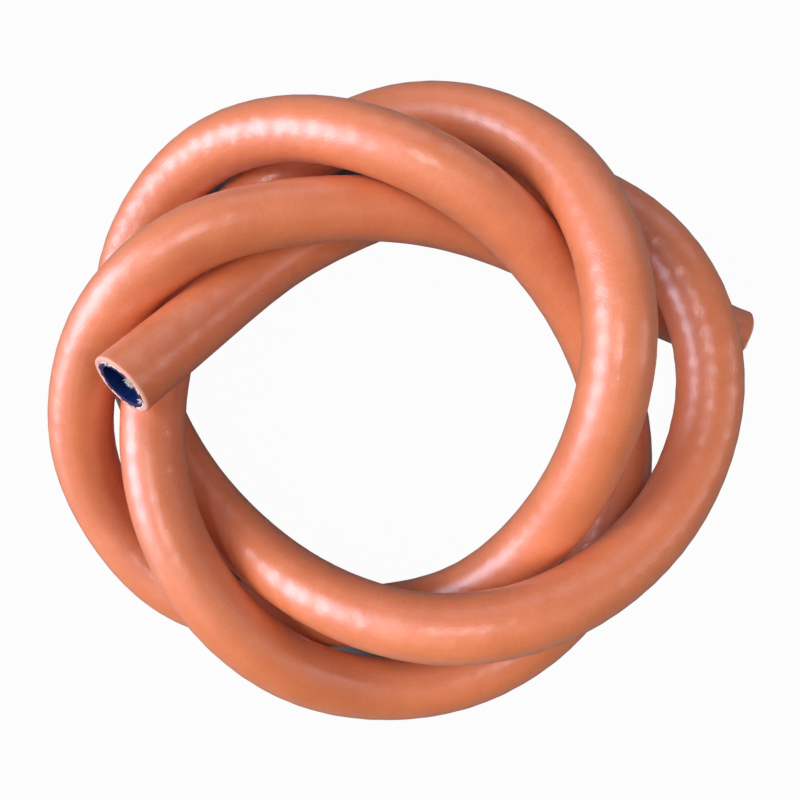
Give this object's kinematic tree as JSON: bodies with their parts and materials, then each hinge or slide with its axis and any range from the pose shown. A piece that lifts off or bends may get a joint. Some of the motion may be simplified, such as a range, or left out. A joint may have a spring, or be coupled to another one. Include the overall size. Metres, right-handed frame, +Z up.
{
  "type": "rubber gas tubing",
  "caption": "Loose coil of orange rubber gas hose with a textile braid, a dark lining and open cut ends that push over ribbed nozzles.",
  "frame": {"origin": "middle of the coil's bounding box, on the bench that it lies on", "axes": "+Z up from the bench, +X towards the far cut end and +Y across the coil"},
  "size_m": [0.1764, 0.1596, 0.0559],
  "materials": {
    "cover_rubber": "smooth extruded orange-red rubber, satin gloss, slightly dimpled by the braid under it",
    "braid_textile": "off-white braided yarn, frayed at the cut ends",
    "lining_rubber": "smooth blue-black rubber"
  },
  "bodies": {
    "root": {"cover": "cover_rubber", "braid": "braid_textile", "lining": "lining_rubber"}
  },
  "joints": []
}
